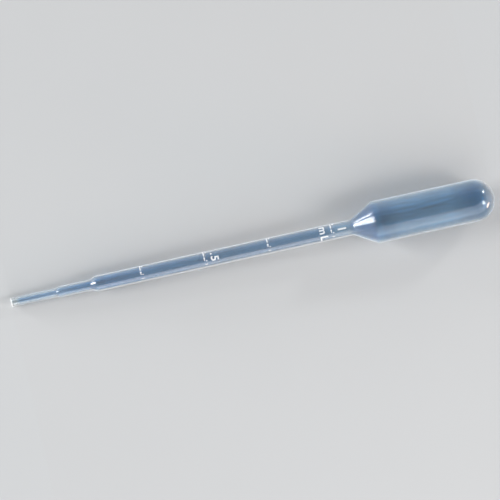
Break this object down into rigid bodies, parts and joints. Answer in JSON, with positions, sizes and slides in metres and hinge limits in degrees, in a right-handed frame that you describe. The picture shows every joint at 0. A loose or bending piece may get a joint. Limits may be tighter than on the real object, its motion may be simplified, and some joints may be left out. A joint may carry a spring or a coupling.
{
  "type": "graduated transfer pipette",
  "caption": "Disposable blow-moulded transfer pipette with a stepped tip, a graduated stem and a squeeze bulb whose two walls press in together.",
  "frame": {"origin": "centre of the tip's opening, on the pipette's axis", "axes": "+X along the axis from the tip's opening to the end of the bulb; +Z through the middle of the graduated side, which faces up when the pipette lies on a table; +Y across, by the right-hand rule"},
  "size_m": [0.15, 0.0128, 0.0128],
  "materials": {
    "polyethylene": "milky translucent low-density polyethylene, smooth with a soft gloss",
    "scale": "raised marks of the same polyethylene, which look paler where they catch the light"
  },
  "bodies": {
    "pipette": {"tip": "polyethylene", "reduced_stem": "polyethylene", "graduated_stem": "polyethylene", "shoulder": "polyethylene", "bulb_barrel": "polyethylene", "bulb_dome": "polyethylene", "mark_250_microlitres": "scale", "mark_500_microlitres": "scale", "mark_750_microlitres": "scale", "mark_1000_microlitres": "scale"},
    "thumb_wall": {"bulb_thumb_wall": "polyethylene"},
    "finger_wall": {"bulb_finger_wall": "polyethylene"}
  },
  "joints": [
    {"name": "thumb_squeeze", "type": "slide", "parent": "pipette", "child": "thumb_wall", "axis": [0, 0, -1], "range_m": [0, 0.004], "stiffness_N_per_m": 1500},
    {"name": "finger_squeeze", "type": "slide", "parent": "pipette", "child": "finger_wall", "axis": [0, 0, 1], "range_m": [0, 0.004], "stiffness_N_per_m": 1500}
  ],
  "couplings": [
    {"joint": "finger_squeeze", "follows": "thumb_squeeze", "ratio": 1}
  ]
}
